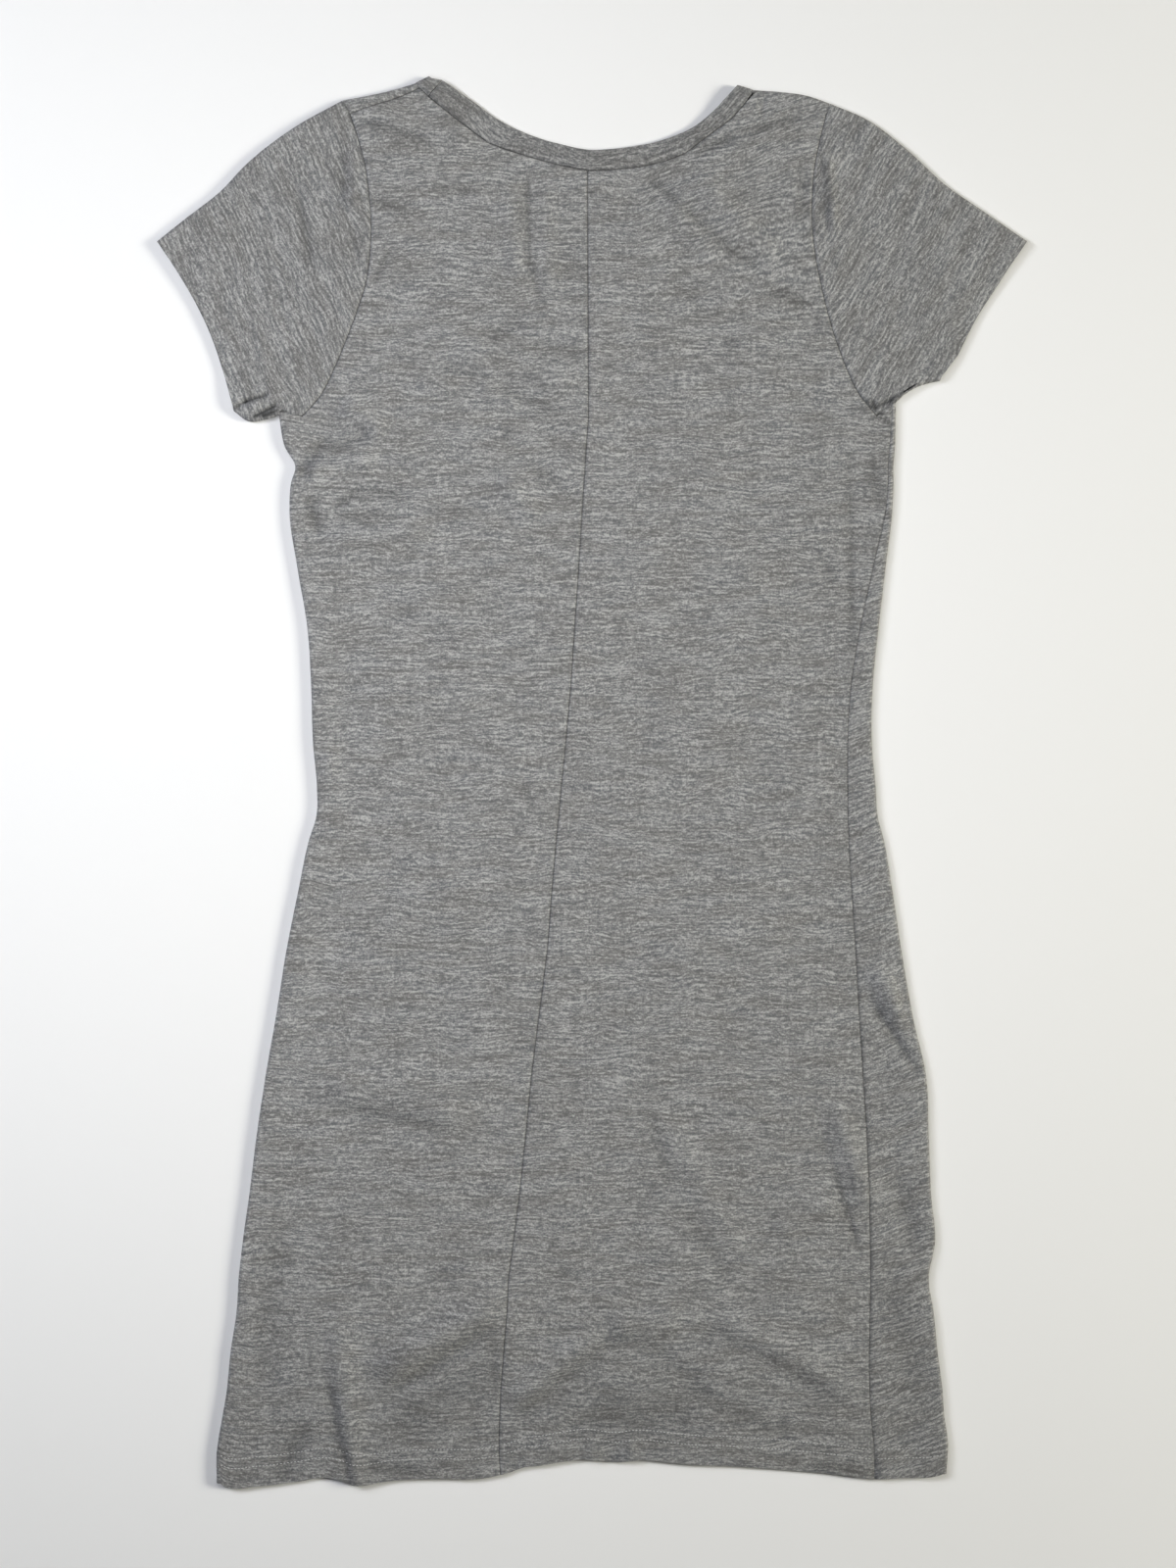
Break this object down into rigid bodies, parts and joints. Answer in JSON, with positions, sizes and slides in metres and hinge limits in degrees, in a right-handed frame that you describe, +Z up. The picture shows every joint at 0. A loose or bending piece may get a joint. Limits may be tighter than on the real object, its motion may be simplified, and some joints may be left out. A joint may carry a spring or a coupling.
{
  "type": "t-shirt dress",
  "caption": "Short-sleeved jersey t-shirt dress laid flat on its front, back up, with a scoop neckband, a waist, a flared skirt and a slanting centre-back seam.",
  "frame": {"origin": "on the table, under the middle of the dress's outline", "axes": "+Z up from the table out of the dress's back, +Y from hem to neck, +X to the right of someone looking down with the neck away from them, which is the wearer's right side"},
  "size_m": [0.551, 0.8929, 0.0057],
  "materials": {
    "jersey": "soft grey melange knit",
    "neck_jersey": "soft grey melange knit, folded double"
  },
  "bodies": {
    "root": {"back_left": "jersey", "back_right": "jersey", "front": "jersey", "sleeve_left": "jersey", "sleeve_right": "jersey", "neckband": "neck_jersey"}
  },
  "joints": []
}
